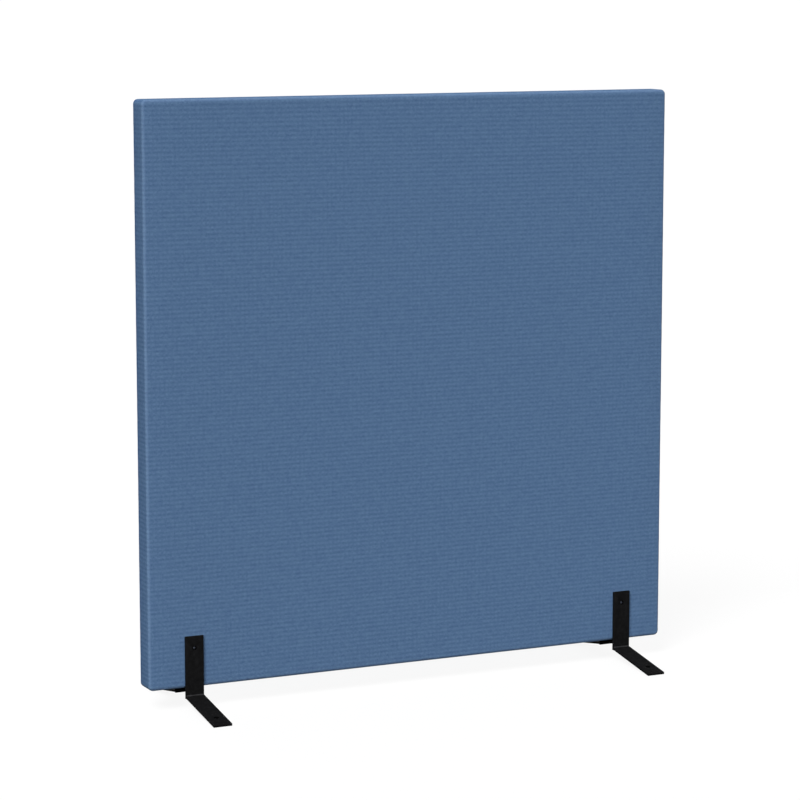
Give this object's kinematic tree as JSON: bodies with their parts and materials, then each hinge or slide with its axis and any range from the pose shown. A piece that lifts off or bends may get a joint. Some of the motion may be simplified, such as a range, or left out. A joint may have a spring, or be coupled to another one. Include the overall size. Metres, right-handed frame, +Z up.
{
  "type": "acoustic divider screen",
  "caption": "Free-standing upholstered acoustic screen: a flat square fabric panel with softly rounded edges on black flat-bar brackets whose feet slope down to the floor.",
  "frame": {"origin": "on the floor, under the middle of the panel", "axes": "+Z is up; the front of the panel faces -Y; +X runs along the panel, to the right seen from the front"},
  "size_m": [1.2, 0.3674, 1.2468],
  "materials": {
    "screen_fabric": "matte",
    "strip_cloth": "matte",
    "foam": "matte",
    "fibreboard": "matte",
    "absorber": "matte",
    "softwood": "matte",
    "hardwood": "satin",
    "powder_coat": "satin",
    "zinc_screw": "satin",
    "insert_steel": "satin",
    "staple_wire": "satin",
    "wood_screw": "satin"
  },
  "bodies": {
    "root": {"front_cover": "screen_fabric", "rear_cover": "screen_fabric", "underside_strip": "strip_cloth", "underside_staples": "staple_wire", "front_foam": "foam", "rear_foam": "foam", "top_edge_foam": "foam", "bottom_edge_foam": "foam", "left_edge_foam": "foam", "right_edge_foam": "foam", "front_board": "fibreboard", "rear_board": "fibreboard", "front_board_staples": "staple_wire", "rear_board_staples": "staple_wire", "left_infill_slab": "absorber", "right_infill_slab": "absorber", "top_rail": "softwood", "bottom_rail": "softwood", "left_stile": "softwood", "right_stile": "softwood", "centre_stile": "softwood", "frame_dowels": "hardwood", "left_anchor_block": "hardwood", "right_anchor_block": "hardwood", "block_screws": "wood_screw", "bracket_inserts": "insert_steel", "bracket_screws": "zinc_screw", "front_left_bracket": "powder_coat", "front_right_bracket": "powder_coat", "rear_left_bracket": "powder_coat", "rear_right_bracket": "powder_coat"}
  },
  "joints": []
}
